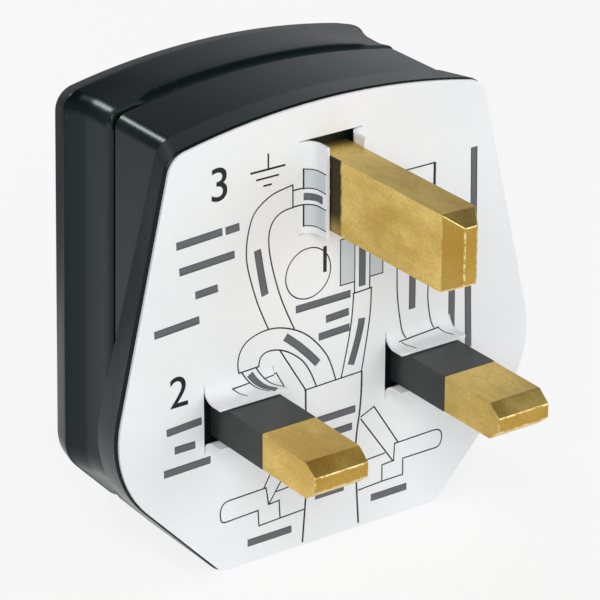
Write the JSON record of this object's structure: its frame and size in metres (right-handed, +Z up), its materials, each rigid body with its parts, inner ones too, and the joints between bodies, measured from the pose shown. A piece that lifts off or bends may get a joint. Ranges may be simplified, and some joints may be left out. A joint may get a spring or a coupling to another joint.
{
  "type": "uk three pin plug",
  "caption": "Rewirable mains plug with a flared black housing, a printed wiring card, sleeved flat pins, a longer earth pin, an inner fuse and a cord grip.",
  "frame": {"origin": "on the face of the wiring card, midway between the two lower pins", "axes": "+X to the right as seen from the pins, +Y into the body, +Z up towards the earth pin"},
  "size_m": [0.051, 0.0472, 0.0489],
  "materials": {
    "housing": "satin moulded, black",
    "card": "smooth white card with black print",
    "pin_brass": "brushed, slightly worn",
    "sleeve": "semi gloss, dark grey",
    "fuse_ceramic": "matt",
    "plated_cap": "nickel plated",
    "clip_brass": "spring temper, bright",
    "screw_brass": "turned",
    "screw_steel": "zinc plated",
    "fibre": "vulcanised fibre, red",
    "grip_nylon": "moulded nylon, natural"
  },
  "bodies": {
    "root": {"base": "housing", "cover": "housing", "wiring_card": "card", "earth_pin": "pin_brass", "live_pin": "pin_brass", "neutral_pin": "pin_brass", "live_pin_sleeve": "sleeve", "neutral_pin_sleeve": "sleeve", "fuse_barrel": "fuse_ceramic", "fuse_cap_lower": "plated_cap", "fuse_cap_upper": "plated_cap", "live_fuse_clip": "clip_brass", "terminal_fuse_clip": "clip_brass", "live_terminal": "pin_brass", "earth_terminal_screw": "screw_brass", "neutral_terminal_screw": "screw_brass", "live_terminal_screw": "screw_brass", "cover_screw": "screw_steel", "screw_retainer": "fibre", "cover_insert": "screw_brass", "cord_grip_jaw_left": "grip_nylon", "cord_grip_jaw_right": "grip_nylon"}
  },
  "joints": []
}
